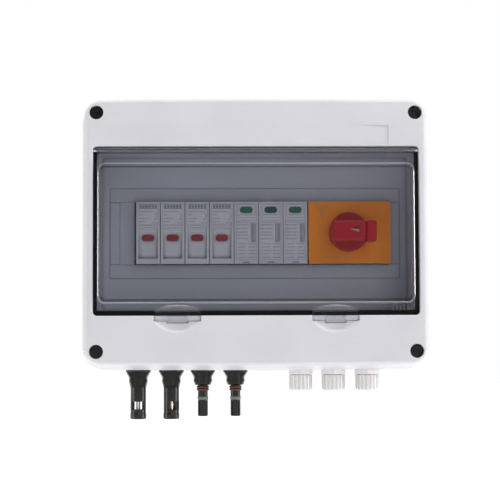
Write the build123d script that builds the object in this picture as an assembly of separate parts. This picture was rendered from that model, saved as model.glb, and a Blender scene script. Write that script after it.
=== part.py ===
"""Photovoltaic DC combiner box: wall-mounted enclosure, fuses, surge protection and isolator.

Frame: millimetres, +Z up, +X to the right of a person facing the box. The wall plane is Y = 0
and the box stands out from it towards -Y. Depth values (d) are distances in front of the wall,
so a point at depth d has Y = -d. The origin is the centre of the four wall holes.
"""

import math
import os

from build123d import *

# ---------------------------------------------------------------- driving dimensions, millimetres

# Enclosure
BOX_W = 252.0
BOX_H = 197.4
BASE_D = 66.0            # parting plane between back box and front cover
FRONT_D = 105.0          # front plane of the cover
CORNER_R = 16.5
COVER_TAPER = 7.0        # draft of the cover's sides, degrees
EDGE_CROWN = 0.8         # outward bow of the top and bottom edges
WALL = 3.0
FRONT_T = 3.0
FRONT_EDGE_R = 4.0
BAND_Z = 78.0            # above and below this height the front falls away slightly
BAND_DROP = 0.9
SEAM_BEVEL = 0.5

# Corner screws of the cover
SCREW_X = 113.0
SCREW_Z = 84.6
SCREW_HEAD_R = 4.6
SCREW_HEAD_D = 101.2     # front of the screw heads, sunk in their holes
SCREW_SEAT_R = 5.0
SCREW_HEAD_T = 2.6
SCREW_RIM = 0.6          # bevel round the holes of the corner screws
SCREW_SHANK_R = 2.4
COLUMN_R = 7.5

# Wall fixing
WALL_HOLE_X = 196.0
WALL_HOLE_Z = 150.0
WALL_HOLE_R = 2.5

# Window recess in the cover, centred on the devices
WINDOW_Z = 0.6
RECESS_W = 231.0
RECESS_H = 120.0
RECESS_R = 3.0
TUNNEL_W = 223.0
TUNNEL_H = 112.0
TUNNEL_T = 2.0
SHOULDER_D = 96.5
RECESS_BEVEL = 0.5
GASKET_HALF_W = 113.0    # inner edge of the door seal
GASKET_TOP = 59.0
GASKET_BOTTOM = -55.6
PANEL_D = 70.0           # front plane of the dead-front panel
PANEL_T = 2.5

# Dead-front panel and its cut-out
CUTOUT_HALF_W = 98.5
CUTOUT_HALF_H = 23.0
LABEL_HALF_W = 106.1
LABEL_HALF_H = 33.3
GROOVE = 0.8
GROOVE_DEPTH = 0.4
PANEL_SCREW_X = 90.0
PANEL_SCREW_Z = 65.0

# Shallow wedge for a label, at the upper right of the cover
LABEL_X0 = 70.0
LABEL_X1 = 94.0
LABEL_Z0 = 62.4
LABEL_Z1 = 75.3
LABEL_DEPTH = 0.5

# Door
DOOR_HALF_W = 113.4
DOOR_TOP = 57.9
DOOR_BOTTOM = -56.0
FLANGE_D = 102.0
FLANGE_T = 2.5
PANE_D = 106.0
PANE_T = 2.5
PANE_TOP = 49.0
PANE_BOTTOM = -51.1
PANE_HALF_W = 112.4
PANE_BEVEL = 1.7
PANE_EDGE_T = 1.8        # wall round the raised pane
PANE_SIDE_BEVEL = 0.9
PANE_CORNER_R = 5.5
HINGE_Z = 57.9
HINGE_D = 100.0
HINGE_R = 2.0
HINGE_PIN_R = 1.1
LATCH_X = 55.8
LATCH_W = 32.0
SCOOP_HALF_W = 24.0      # half axes of the flattened bowl that cuts a finger dish
SCOOP_HALF_D = 9.0
SCOOP_HALF_H = 18.0
SCOOP_LIFT = 6.0         # bowl centre in front of the cover
TAB_BOTTOM = -62.8
TAB_D = 104.7
TAB_T = 1.9
TAB_GAP = 0.6            # clearance of a grip tab in the cover
TAB_RIB_HALF_W = 7.0
TAB_RIB_DROP = 1.3
DISH_HALF_W = 22.5       # half axes of the dishes in the door's lower flange
DISH_HALF_D = 4.4
DISH_HALF_H = 7.6
DISH_LIFT = 2.9

# Rail-mounted devices
RAIL_Z = 1.0
RAIL_W = 216.0
RAIL_D = 17.5            # front plane of the rail
RAIL_H = 7.5
RAIL_SCREW_X = 95.0
MODULE = 17.8
DEVICE_X0 = -86.5        # left side of the first module
DEVICE_W = 17.5
BODY_HALF = 41.0
NOSE_HALF = 22.5
SHOULDER_BODY_D = 61.5
NOSE_D = 77.5
FUSES = 4
SPD_POLES = 3
TERMINAL_Z = 31.5
WIRE_D = 44.0            # depth of the wire entries
WIRE_R = 2.5
CLAMP_SCREW_R = 2.2

# Fuse carrier hinge, relative to the rail
CARRIER_PIVOT_Z = -18.0
CARRIER_PIVOT_D = 70.0
FUSE_R = 5.15
FUSE_LEN = 38.0

# Isolator
ISOLATOR_X0 = 38.7
ISOLATOR_W = 60.0
KNOB_X = 67.5
KNOB_R = 14.1
PLATE_D = 78.0
KNOB_TOP_D = 97.0
KNOB_SKIRT_D = 85.5      # front of the knob's round skirt
GRIP_R = 14.0
GRIP_HALF_H = 7.8
GRIP_END = 11.4          # right end of the grip, from the knob's axis
GRIP_EDGE_R = 2.6
LOCK_TAB_X = 15.2
LOCK_TAB_W = 7.2
LOCK_TAB_H = 15.4
LOCK_HOLE_X = 8.4
LOCK_HOLE_R = 2.3
SHAFT_R = 3.2
SHAFT_SQUARE = 4.5

# Connectors and glands in the bottom wall
ENTRY_D = 50.0
CONNECTOR_X = (-86.0, -61.6, -38.3, -14.2)
GLAND_X = (34.1, 58.4, 83.3)
BOTTOM_Z = -BOX_H / 2
FLOOR_Z = BOTTOM_Z + WALL
SEAT_Z = FLOOR_Z + 0.8   # flat seats of the locknuts on the bowed floor
CONNECTOR_THREAD_R = 6.0
SOCKET_R = 5.75
SOCKET_NECK_R = 5.0
SOCKET_TURN = (0, 28)    # turn of the latch windows about the upright axis, degrees
PLUG_R = 3.7
PLUG_NECK_R = 5.3
PLUG_SLOTS = 10
WING_HALF = 4.2
GLAND_THREAD_R = 8.0
GLAND_BORE_R = 4.2
GLAND_HEX = 17.1
GLAND_NUT_R = 8.55
GLAND_NUT_END_R = 2.4
GLAND_RIBS = 18
GLAND_NECK_R = 7.2
GLAND_SEAL_R = 5.4
LOCKNUT_T = 4.0

# Earth bar
EARTH_X0 = 44.0
EARTH_X1 = 100.0
EARTH_Z = -66.0
EARTH_D = 18.0

PARTS = {}


# ---------------------------------------------------------------- helpers

def block(x0, x1, d0, d1, z0, z1):
    """Rectangular block between two opposite corners, with depths d in front of the wall."""
    return Pos((x0 + x1) / 2, -(d0 + d1) / 2, (z0 + z1) / 2) * Box(x1 - x0, d1 - d0, z1 - z0)


def plate(width, height, radius, d0, d1, x=0.0, z=0.0):
    """Plate with rounded corners, parallel to the wall, from depth d0 to depth d1."""
    outline = RectangleRounded(width, height, radius)
    return extrude(Plane.XZ.offset(d0) * Pos(x, z) * outline, d1 - d0)


def prism(points, x0, x1):
    """Extrude a (depth, height) outline along X from x0 to x1."""
    corners = [(-d, z) for d, z in points]
    return extrude(Plane.YZ.offset(x0) * make_face(Polyline(*corners, close=True)), x1 - x0)


def peg(x, z, radius, d0, d1):
    """Round bar square to the wall, from depth d0 to depth d1."""
    return extrude(Plane.XZ.offset(d0) * Pos(x, z) * Circle(radius), d1 - d0)


def post(x, d, radius, z0, z1):
    """Upright round bar from height z0 to height z1."""
    return Pos(x, -d, z0) * extrude(Circle(radius), z1 - z0)


def bar_x(d, z, radius, x0, x1):
    """Round bar along X."""
    return extrude(Plane.YZ.offset(x0) * Pos(-d, z) * Circle(radius), x1 - x0)


def hexagon(x, d, across_flats, z0, z1, turn=0.0):
    """Upright hexagonal prism from height z0 to height z1."""
    outline = RegularPolygon(across_flats / 2, 6, major_radius=False, rotation=turn)
    return Pos(x, -d, z0) * extrude(outline, z1 - z0)


def turned(x, d, profile):
    """Body of revolution about an upright axis from (radius, height) points."""
    face = Plane.XZ * make_face(Polyline(*profile, close=True))
    return Pos(x, -d, 0) * revolve(face, Axis.Z)


def add(name, *shapes):
    """Register the solids of one node."""
    solids = [solid for shape in shapes for solid in shape.solids()]
    PARTS[name] = solids[0] if len(solids) == 1 else Compound(solids)


def corners(half_x, half_z):
    """The four points at plus and minus the two half distances."""
    return [(sx * half_x, sz * half_z) for sx in (-1, 1) for sz in (-1, 1)]


def box_outline(inset=0.0):
    """Outline of the enclosure: a rounded rectangle with slightly bowed top and bottom."""
    half_w = BOX_W / 2 - inset
    half_h = BOX_H / 2 - inset
    low = half_h - EDGE_CROWN
    edges = [
        ThreePointArc((-half_w, low), (0, half_h), (half_w, low)),
        Line((half_w, low), (half_w, -low)),
        ThreePointArc((half_w, -low), (0, -half_h), (-half_w, -low)),
        Line((-half_w, -low), (-half_w, low)),
    ]
    face = make_face(edges)
    return fillet(face.vertices(), CORNER_R - inset)


def shell_block(d0, d1, inset=0.0, taper=0.0):
    """Enclosure outline extruded between two depths, narrowing by a taper angle."""
    return extrude(Plane.XZ.offset(d0) * box_outline(inset), d1 - d0, taper=taper)


# ---------------------------------------------------------------- enclosure

def make_back_box():
    """Half-shell against the wall, open at the front."""
    body = shell_block(0, BASE_D)
    body = fillet(body.edges().group_by(Axis.Y)[-1], 2.0)
    body = chamfer(body.edges().group_by(Axis.Y)[0], SEAM_BEVEL)
    body -= shell_block(WALL, BASE_D + 1, WALL)
    rim = shell_block(BASE_D - 5, BASE_D, SEAM_BEVEL + 0.1) - shell_block(BASE_D - 6, BASE_D + 1, 6.5)
    body += rim
    for x, z in corners(SCREW_X, SCREW_Z):
        body += shell_block(WALL - 0.5, BASE_D, 0.8) & peg(x, z, COLUMN_R, WALL - 0.5, BASE_D)
    body -= gasket_ring(BASE_D - 2.2, BASE_D + 1)
    for x, z in corners(SCREW_X, SCREW_Z):
        body -= peg(x, z, SCREW_SHANK_R, BASE_D - 22, BASE_D + 1)
    for x, z in corners(WALL_HOLE_X / 2, WALL_HOLE_Z / 2):
        body += peg(x, z, 6.0, WALL - 0.5, WALL + 2)
        body -= peg(x, z, WALL_HOLE_R, -1, WALL + 4)
    rail_back = RAIL_D - RAIL_H
    for x in (-RAIL_SCREW_X, RAIL_SCREW_X):
        body += block(x - 6, x + 6, WALL - 0.5, rail_back, RAIL_Z - 13, RAIL_Z + 13)
        body -= peg(x, RAIL_Z, 1.6, WALL + 0.5, rail_back + 1)
    for x in (EARTH_X0 + 6, EARTH_X1 - 6):
        body += block(x - 5, x + 5, WALL - 0.5, EARTH_D - 4, EARTH_Z - 5, EARTH_Z + 5)
        body -= peg(x, EARTH_Z, 1.4, WALL + 0.5, EARTH_D)
    entries = [(x, CONNECTOR_THREAD_R) for x in CONNECTOR_X] + [(x, GLAND_THREAD_R) for x in GLAND_X]
    for x, radius in entries:
        body += post(x, ENTRY_D, radius + 2.4, BOTTOM_Z, FLOOR_Z)
        body += post(x, ENTRY_D, radius + 3.6, FLOOR_Z - 1, SEAT_Z)
        body -= post(x, ENTRY_D, radius + 0.2, BOTTOM_Z - 2, SEAT_Z + 2)
    add("back_box", body)


def gasket_ring(d0, d1, shrink=0.0):
    """Ring that follows the parting rim inside the corner screws."""
    outer = shell_block(d0, d1, 3.0 + shrink)
    inner = shell_block(d0 - 1, d1 + 1, 5.4 - shrink)
    ring = outer - inner
    for x, z in corners(SCREW_X, SCREW_Z):
        ring -= peg(x, z, SCREW_SHANK_R + 1.4 - shrink, d0 - 1, d1 + 1)
    return ring


def make_front_cover():
    """Front half-shell with window recess, tunnel, hinge seats, scoops and screw columns."""
    body = shell_block(BASE_D, FRONT_D, taper=COVER_TAPER)
    body = chamfer(body.edges().group_by(Axis.Y)[-1], SEAM_BEVEL)
    body = fillet(body.edges().group_by(Axis.Y)[0], FRONT_EDGE_R)
    half_h = BOX_H / 2
    for side in (1, -1):
        wedge = [
            (FRONT_D, side * BAND_Z),
            (FRONT_D - BAND_DROP, side * (half_h + 1)),
            (FRONT_D + 2, side * (half_h + 1)),
            (FRONT_D + 2, side * BAND_Z),
        ]
        body -= prism(wedge, -BOX_W, BOX_W)
    body -= shell_block(BASE_D, FRONT_D - FRONT_T, WALL, COVER_TAPER)
    body += plate(RECESS_W + 6, RECESS_H + 6, RECESS_R + 3, SHOULDER_D - 3, FRONT_D - 1, z=WINDOW_Z)
    body += plate(TUNNEL_W + 2 * TUNNEL_T, TUNNEL_H + 2 * TUNNEL_T, 4, PANEL_D, SHOULDER_D, z=WINDOW_Z)
    for side in (-1, 1):
        body += scoop_backing(side * LATCH_X)
    for x, z in corners(PANEL_SCREW_X, PANEL_SCREW_Z):
        body += peg(x, z + WINDOW_Z, 3.5, PANEL_D, FRONT_D - 1)
    body -= plate(RECESS_W, RECESS_H, RECESS_R, SHOULDER_D, FRONT_D + 5, z=WINDOW_Z)
    body -= plate(TUNNEL_W, TUNNEL_H, 3, BASE_D, SHOULDER_D + 1, z=WINDOW_Z)
    body -= recess_bevel()
    body -= bar_x(HINGE_D, HINGE_Z, HINGE_PIN_R + 0.08, -RECESS_W / 2 - 2.5, RECESS_W / 2 + 2.5)
    for side in (-1, 1):
        body -= scoop(side * LATCH_X)
    for x, z in corners(PANEL_SCREW_X, PANEL_SCREW_Z):
        body -= peg(x, z + WINDOW_Z, 1.25, PANEL_D - 1, PANEL_D + 9)
    for x, z in corners(SCREW_X, SCREW_Z):
        column = peg(x, z, COLUMN_R, BASE_D, FRONT_D - 2)
        body += column & shell_block(BASE_D, FRONT_D - 2, 0.8, COVER_TAPER)
        body -= peg(x, z, SCREW_SHANK_R + 0.3, BASE_D - 1, FRONT_D + 1)
        body -= peg(x, z, SCREW_SEAT_R, SCREW_HEAD_D - SCREW_HEAD_T, FRONT_D + 1)
        rim = Cone(SCREW_SEAT_R - SCREW_RIM, SCREW_SEAT_R + SCREW_RIM, 2 * SCREW_RIM)
        body -= Pos(x, -FRONT_D, z) * Rot(90, 0, 0) * rim
    body -= label_recess()
    add("front_cover", body)


def recess_bevel():
    """Small bevel round the front edge of the window recess."""
    wide = 2 * RECESS_BEVEL
    sections = []
    for grow, d in ((0.0, FRONT_D - RECESS_BEVEL), (2 * wide, FRONT_D + RECESS_BEVEL)):
        outline = RectangleRounded(RECESS_W + grow, RECESS_H + grow, RECESS_R + grow / 2)
        sections.append(Plane.XZ.offset(d) * Pos(0, WINDOW_Z) * outline)
    return loft(sections)


def label_recess():
    """Shallow wedge for a rating label, deepest at its right edge."""
    section = [
        (LABEL_X0, -FRONT_D), (LABEL_X1, LABEL_DEPTH - FRONT_D),
        (LABEL_X1, -FRONT_D - 1), (LABEL_X0, -FRONT_D - 1),
    ]
    face = make_face(Polyline(*section, close=True))
    return Pos(0, 0, LABEL_Z0) * extrude(face, LABEL_Z1 - LABEL_Z0)


def scoop(x):
    """Shallow finger dish in the cover and a close pocket for the grip tab."""
    edge = WINDOW_Z - RECESS_H / 2 + 1
    bowl = scale(Sphere(1.0), (SCOOP_HALF_W, SCOOP_HALF_D, SCOOP_HALF_H))
    cut = Pos(x, -FRONT_D - SCOOP_LIFT, DOOR_BOTTOM - 2.2) * bowl
    half = LATCH_W / 2 + TAB_GAP
    cut += block(x - half, x + half, TAB_D - TAB_T - TAB_GAP, FRONT_D + 1, TAB_BOTTOM - TAB_GAP, edge)
    half = TAB_RIB_HALF_W + TAB_GAP
    low = TAB_BOTTOM - TAB_RIB_DROP - TAB_GAP
    cut += block(x - half, x + half, FLANGE_D - 1.4 - TAB_GAP, FRONT_D + 1, low, edge)
    return cut


def scoop_backing(x):
    """Thicker wall behind a finger dish."""
    bottom = WINDOW_Z - RECESS_H / 2
    return plate(2 * SCOOP_HALF_W, 14, 4, FRONT_D - 9.5, FRONT_D - 1, x=x, z=bottom - 5)


def make_cover_gasket():
    """Rubber sealing cord in the groove of the rim."""
    add("cover_gasket", gasket_ring(BASE_D - 2.2, BASE_D, shrink=0.1))


def make_cover_screws():
    """Four slotted plastic screws."""
    screws = []
    for x, z in corners(SCREW_X, SCREW_Z):
        screw = peg(x, z, SCREW_SHANK_R - 0.05, BASE_D - 18, SCREW_HEAD_D - 2)
        head = peg(x, z, SCREW_HEAD_R, SCREW_HEAD_D - SCREW_HEAD_T, SCREW_HEAD_D)
        screw += fillet(head.edges().filter_by(GeomType.CIRCLE).group_by(Axis.Y)[0], 0.6)
        slot = Rot(0, 45, 0) * Box(6.8, 2.4, 1.5)
        screw -= Pos(x, -SCREW_HEAD_D, z) * slot
        screw -= peg(x, z, 1.9, SCREW_HEAD_D - 1.6, SCREW_HEAD_D + 1)
        screws.append(screw)
    add("cover_screws", *screws)


def make_dead_front_panel():
    """Touch guard behind the window, with the device cut-out and engraved lines."""
    body = plate(TUNNEL_W + 16, TUNNEL_H + 28, 5, PANEL_D - PANEL_T, PANEL_D, z=WINDOW_Z)
    body -= block(-CUTOUT_HALF_W, CUTOUT_HALF_W, PANEL_D - 5, PANEL_D + 1,
                  RAIL_Z - CUTOUT_HALF_H, RAIL_Z + CUTOUT_HALF_H)
    frame = plate(2 * LABEL_HALF_W, 2 * LABEL_HALF_H, 1.0, PANEL_D - GROOVE_DEPTH, PANEL_D + 1, z=RAIL_Z)
    frame -= plate(2 * (LABEL_HALF_W - GROOVE), 2 * (LABEL_HALF_H - GROOVE), 0.6,
                   PANEL_D - 1, PANEL_D + 2, z=RAIL_Z)
    body -= frame
    for side_x in (-1, 1):
        for side_z in (-1, 1):
            x0, x1 = sorted((side_x * (CUTOUT_HALF_W - 1), side_x * LABEL_HALF_W))
            z = RAIL_Z + side_z * (CUTOUT_HALF_H - GROOVE / 2)
            body -= block(x0, x1, PANEL_D - GROOVE_DEPTH, PANEL_D + 1, z - GROOVE / 2, z + GROOVE / 2)
    for x, z in corners(PANEL_SCREW_X, PANEL_SCREW_Z):
        body -= peg(x, z + WINDOW_Z, 1.7, PANEL_D - 5, PANEL_D + 1)
    add("dead_front_panel", body)


def make_dead_front_screws():
    """Pan-head screws that hold the panel to the cover from inside."""
    screws = []
    for x, z in corners(PANEL_SCREW_X, PANEL_SCREW_Z):
        screw = peg(x, z + WINDOW_Z, 1.25, PANEL_D - PANEL_T - 0.5, PANEL_D + 8)
        screw += peg(x, z + WINDOW_Z, 2.8, PANEL_D - PANEL_T - 1.8, PANEL_D - PANEL_T)
        screws.append(screw)
    add("dead_front_screws", *screws)


def make_blanking_strip():
    """Snap-in filler between the left end of the cut-out and the first fuse base."""
    x0 = -CUTOUT_HALF_W + 0.15
    x1 = DEVICE_X0 - 1.1
    z0 = RAIL_Z - CUTOUT_HALF_H + 0.15
    z1 = RAIL_Z + CUTOUT_HALF_H - 0.15
    body = block(x0, x1, PANEL_D - 4.5, PANEL_D - 0.2, z0, z1)
    body -= block(x0 + 1.2, x1 - 1.2, PANEL_D - 6, PANEL_D - 1.8, z0 + 1.2, z1 - 1.2)
    for z in (z0, z1):
        body += block(x0 + 2, x1 - 2, PANEL_D - 4.5, PANEL_D - 2.7, z - 0.5, z + 0.5)
    add("blanking_strip", body)


# ---------------------------------------------------------------- door

def pane_section(inset, share, d):
    """Outline of the raised pane at depth d; share goes from 0 at its foot to 1 at its front."""
    half_w = PANE_HALF_W - inset - PANE_SIDE_BEVEL * share
    height = PANE_TOP - PANE_BOTTOM - 2 * inset - 2 * PANE_BEVEL * share
    outline = RectangleRounded(2 * half_w, height, PANE_CORNER_R - inset - 0.5 * share)
    return Plane.XZ.offset(d) * Pos(0, (PANE_TOP + PANE_BOTTOM) / 2) * outline


def pane_loft(inset, d0, d1, steps):
    """Raised pane between two depths, with an edge that rounds over in a number of steps."""
    sections = []
    for step in range(steps + 1):
        angle = math.pi / 2 * step / steps
        rise = math.sin(angle) if steps > 1 else step
        share = 1 - math.cos(angle) if steps > 1 else step
        sections.append(pane_section(inset, share, d0 + (d1 - d0) * rise))
    body = loft(sections[:2])
    for low, high in zip(sections[1:], sections[2:]):
        body += loft([low, high])
    return body


def grip_tab(x):
    """Grip tab under the lower flange, with a thick ribbed middle."""
    half = LATCH_W / 2
    step = DOOR_BOTTOM - 2.4
    body = block(x - half, x + half, FLANGE_D - FLANGE_T, FLANGE_D, step, DOOR_BOTTOM + 1)
    body += block(x - half, x + half, FLANGE_D - FLANGE_T, TAB_D, step, step + 1.2)
    middle = (step + 1.2 + TAB_BOTTOM) / 2
    body += plate(LATCH_W, step - TAB_BOTTOM + 1.2, 1.4, TAB_D - TAB_T, TAB_D, x=x, z=middle)
    low = TAB_BOTTOM - TAB_RIB_DROP
    body += block(x - TAB_RIB_HALF_W, x + TAB_RIB_HALF_W, FLANGE_D - 1.4, TAB_D + 0.6, low, step + 0.6)
    for rib in range(3):
        z = low + 1.1 + 1.4 * rib
        body -= block(x - TAB_RIB_HALF_W - 0.5, x + TAB_RIB_HALF_W + 0.5, TAB_D + 0.1, TAB_D + 1, z, z + 0.6)
    return body


def make_window_door():
    """Smoked door: flat flange, raised bevelled pane, hinge barrel and two grip tabs."""
    height = DOOR_TOP - DOOR_BOTTOM
    centre = (DOOR_TOP + DOOR_BOTTOM) / 2
    body = plate(2 * DOOR_HALF_W, height, 2.0, FLANGE_D - FLANGE_T, FLANGE_D, z=centre)
    body += bar_x(HINGE_D, HINGE_Z, HINGE_R, -DOOR_HALF_W, DOOR_HALF_W)
    body += pane_loft(0.0, FLANGE_D - 0.5, PANE_D, 5)
    body -= pane_loft(PANE_EDGE_T, FLANGE_D - FLANGE_T - 0.01, PANE_D - PANE_T, 1)
    for side in (-1, 1):
        x = side * LATCH_X
        body += grip_tab(x)
        bowl = scale(Sphere(1.0), (DISH_HALF_W, DISH_HALF_D, DISH_HALF_H))
        dish = Pos(x, -FLANGE_D - DISH_LIFT, DOOR_BOTTOM - 1.4) * bowl
        flange = block(x - DISH_HALF_W, x + DISH_HALF_W, FLANGE_D - 2, FLANGE_D + 0.1,
                       DOOR_BOTTOM - 1.2, PANE_BOTTOM - 0.4)
        body -= dish & flange
        body += block(x - 6, x + 6, SHOULDER_D - 8, FLANGE_D - 1, DOOR_BOTTOM + 1.6, DOOR_BOTTOM + 3.2)
    body -= bar_x(HINGE_D, HINGE_Z, HINGE_PIN_R, -DOOR_HALF_W - 1, -DOOR_HALF_W + 8)
    body -= bar_x(HINGE_D, HINGE_Z, HINGE_PIN_R, DOOR_HALF_W - 8, DOOR_HALF_W + 1)
    add("window_door", body)


def make_door_hinge_pins():
    """Steel pins pressed into the ends of the door's barrel."""
    end = RECESS_W / 2 + 2.2
    left = bar_x(HINGE_D, HINGE_Z, HINGE_PIN_R, -end, -DOOR_HALF_W + 8)
    right = bar_x(HINGE_D, HINGE_Z, HINGE_PIN_R, DOOR_HALF_W - 8, end)
    add("door_hinge_pins", left, right)


def make_door_gasket():
    """Black seal on the shoulder of the recess."""
    body = plate(RECESS_W - 0.4, RECESS_H - 0.4, RECESS_R - 0.2, SHOULDER_D, SHOULDER_D + 2.6, z=WINDOW_Z)
    body -= block(-GASKET_HALF_W, GASKET_HALF_W, SHOULDER_D - 1, SHOULDER_D + 4, GASKET_BOTTOM, GASKET_TOP)
    body -= bar_x(HINGE_D, HINGE_Z, HINGE_R + 0.5, -RECESS_W, RECESS_W)
    add("door_gasket", body)


# ---------------------------------------------------------------- rail

def make_din_rail():
    """Top-hat rail, 35 x 7.5 mm, with two fixing holes."""
    back = RAIL_D - RAIL_H
    half = 17.5
    inner = 12.5
    t = 1.0
    profile = [
        (RAIL_D, half), (RAIL_D, inner), (back + t, inner), (back + t, -inner), (RAIL_D, -inner),
        (RAIL_D, -half), (RAIL_D - t, -half), (RAIL_D - t, -inner - t), (back, -inner - t),
        (back, inner + t), (RAIL_D - t, inner + t), (RAIL_D - t, half),
    ]
    body = prism([(d, z + RAIL_Z) for d, z in profile], -RAIL_W / 2, RAIL_W / 2)
    for x in (-RAIL_SCREW_X, RAIL_SCREW_X):
        body -= peg(x, RAIL_Z, 2.2, back - 1, back + 3)
    add("din_rail", body)


def make_rail_screws():
    """Two pan-head screws through the rail."""
    screws = []
    seat = RAIL_D - RAIL_H + 1.0
    for x in (-RAIL_SCREW_X, RAIL_SCREW_X):
        screw = peg(x, RAIL_Z, 1.6, WALL + 1, seat + 1) + peg(x, RAIL_Z, 3.6, seat, seat + 2.4)
        screw -= Pos(x, -(seat + 2.4), RAIL_Z) * Box(5.0, 2.0, 1.0)
        screws.append(screw)
    add("rail_screws", *screws)


# ---------------------------------------------------------------- modular devices

def module_x(index):
    """Centre of a module counted from the left."""
    return DEVICE_X0 + MODULE * (index + 0.5)


def device_outline(nose_d=None):
    """Side outline of a rail-mounted device as (depth, height above the rail) points."""
    upper = [(RAIL_D, 17.8), (13.5, 17.8), (13.5, 27.0), (22.0, BODY_HALF), (SHOULDER_BODY_D, BODY_HALF)]
    if nose_d is not None:
        upper += [(SHOULDER_BODY_D, NOSE_HALF), (nose_d, NOSE_HALF)]
    return upper + [(d, -z) for d, z in reversed(upper)]


def rail_prism(points, x0, x1):
    """Prism whose heights are measured from the middle of the rail."""
    return prism([(d, z + RAIL_Z) for d, z in points], x0, x1)


def rail_block(x0, x1, d0, d1, z0, z1):
    """Block whose heights are measured from the middle of the rail."""
    return block(x0, x1, d0, d1, z0 + RAIL_Z, z1 + RAIL_Z)


def terminal_openings(x):
    """Pockets of the top and bottom clamps: chamber, wire entry and screw hole."""
    cut = []
    for side in (-1, 1):
        z0, z1 = sorted((side * 25.0, side * 38.5))
        cut.append(rail_block(x - 5.6, x + 5.6, 33, 59, z0, z1))
        e0, e1 = sorted((side * 38.0, side * (BODY_HALF + 1)))
        cut.append(post(x, WIRE_D, WIRE_R + 0.5, RAIL_Z + e0, RAIL_Z + e1))
        cut.append(rail_block(x - 2.2, x + 2.2, 51, 54, e0, e1))
        cut.append(peg(x, RAIL_Z + side * TERMINAL_Z, 2.9, 57, SHOULDER_BODY_D + 1))
    return cut


def make_fuse_housing(index):
    """Fuse base: hollow housing clipped on the rail, open at the front for the carrier."""
    x = module_x(index)
    half = DEVICE_W / 2
    body = rail_prism(device_outline(73.6), x - half, x + half)
    body -= rail_block(x - 7.4, x + 7.4, 54, 80, -21.5, 21.4)
    for cut in terminal_openings(x):
        body -= cut
    for side in (-1, 1):
        z0, z1 = sorted((side * 21.0, side * 26.0))
        body -= rail_block(x - 4.3, x + 4.3, 56.4, 59.2, z0, z1)
    body -= bar_x(CARRIER_PIVOT_D, RAIL_Z + CARRIER_PIVOT_Z, 1.35, x - 8.3, x + 8.3)
    add(f"fuse_housing_{index + 1}", body)


def make_fuse_carrier(index):
    """Tilting carrier: face with finger recess, two cheeks and hinge stubs."""
    x = module_x(index)
    half = 8.65
    rim = [(NOSE_D, NOSE_HALF), (NOSE_D, -NOSE_HALF), (76.0, -NOSE_HALF), (76.0, -15.0),
           (74.0, -15.0), (74.0, NOSE_HALF)]
    body = rail_prism(rim, x - half, x + half)
    body += rail_prism([(76.5, -19.0), (76.5, 20.0), (73.0, 20.0), (73.0, -17.5), (74.0, -19.0)],
                       x - 7.0, x + 7.0)
    cheek = [(74.0, -18.0), (74.0, 12.0), (65.0, 12.0), (65.0, -18.0), (68.0, -20.2), (72.0, -20.2)]
    for x0, x1 in ((x - 7.0, x - FUSE_R), (x + FUSE_R, x + 7.0)):
        body += rail_prism(cheek, x0, x1)
    for x0, x1 in ((x - 8.2, x - 6.0), (x + 6.0, x + 8.2)):
        body += bar_x(CARRIER_PIVOT_D, RAIL_Z + CARRIER_PIVOT_Z, 1.3, x0, x1)
    recess = [(NOSE_D + 1, 3.1), (NOSE_D, 3.1), (NOSE_D - 0.5, 2.8), (74.95, -18.7), (NOSE_D + 1, -18.7)]
    body -= rail_prism(recess, x - 6.9, x + 6.9)
    body -= rail_block(x - 7.5, x + 7.5, NOSE_D - 0.3, NOSE_D + 1, 3.9, 21.6)
    body -= indicator_solid(x, 0.0)
    add(f"fuse_carrier_{index + 1}", body)


def indicator_solid(x, lift):
    """Oval status lamp in the finger recess, tilted with the recess floor."""
    slope = math.degrees(math.atan2(2.0, 21.0))
    lamp = extrude(SlotOverall(9.0, 4.6), 1.6)
    upright = Plane(origin=(x, -(NOSE_D - 1.7), RAIL_Z - 3.6), x_dir=(1, 0, 0), z_dir=(0, -1, 0))
    return upright * Rot(slope, 0, 0) * Pos(0, 0, lift) * lamp


def make_fuse_indicator(index):
    """Red lamp window of a fuse carrier."""
    add(f"fuse_indicator_{index + 1}", indicator_solid(module_x(index), 0.0))


def make_fuse_link(index):
    """Cylindrical 10 x 38 mm fuse: ceramic tube with two end caps."""
    x = module_x(index)
    d = 67.5
    z0 = RAIL_Z - 17.6
    body = post(x, d, FUSE_R - 0.35, z0 + 2, z0 + FUSE_LEN - 2)
    for z in (z0, z0 + FUSE_LEN - 9.5):
        cap = post(x, d, FUSE_R, z, z + 9.5)
        body += fillet(cap.edges().filter_by(GeomType.CIRCLE), 0.5)
    add(f"fuse_link_{index + 1}", body)


def make_fuse_contacts():
    """Spring contacts and clamp blocks of the four fuse bases."""
    solids = []
    for index in range(FUSES):
        x = module_x(index)
        top = rail_block(x - 4.0, x + 4.0, 57.6, 58.4, 13, 28.5)
        top += rail_block(x - 6.15, x + 6.15, 57.6, 58.4, 13, 20)
        for x0, x1 in ((x - 6.15, x - 5.4), (x + 5.4, x + 6.15)):
            top += rail_block(x0, x1, 58, 71, 13, 20)
        top += clamp_block(x, 1)
        low = rail_block(x - 4.0, x + 4.0, 57.6, 58.4, -28.5, -9)
        low += rail_block(x - 4.0, x + 4.0, 57.6, 61.4, -12, -11.2)
        low += rail_block(x - 4.0, x + 4.0, 60.6, 61.4, -17, -11.2)
        low += clamp_block(x, -1)
        solids += [top, low]
    add("fuse_contacts", *solids)


def clamp_block(x, side):
    """Clamp body of a terminal with wire bore, comb slot and screw bore."""
    z0, z1 = sorted((side * 26.0, side * 37.5))
    body = rail_block(x - 5.0, x + 5.0, 36, 58, z0, z1)
    body -= post(x, WIRE_D, WIRE_R, RAIL_Z + z0 - 1, RAIL_Z + z1 + 1)
    body -= rail_block(x - 2.0, x + 2.0, 51.5, 53.5, z0 - 1, z1 + 1)
    body -= peg(x, RAIL_Z + side * TERMINAL_Z, CLAMP_SCREW_R, 53, 60)
    return body


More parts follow.
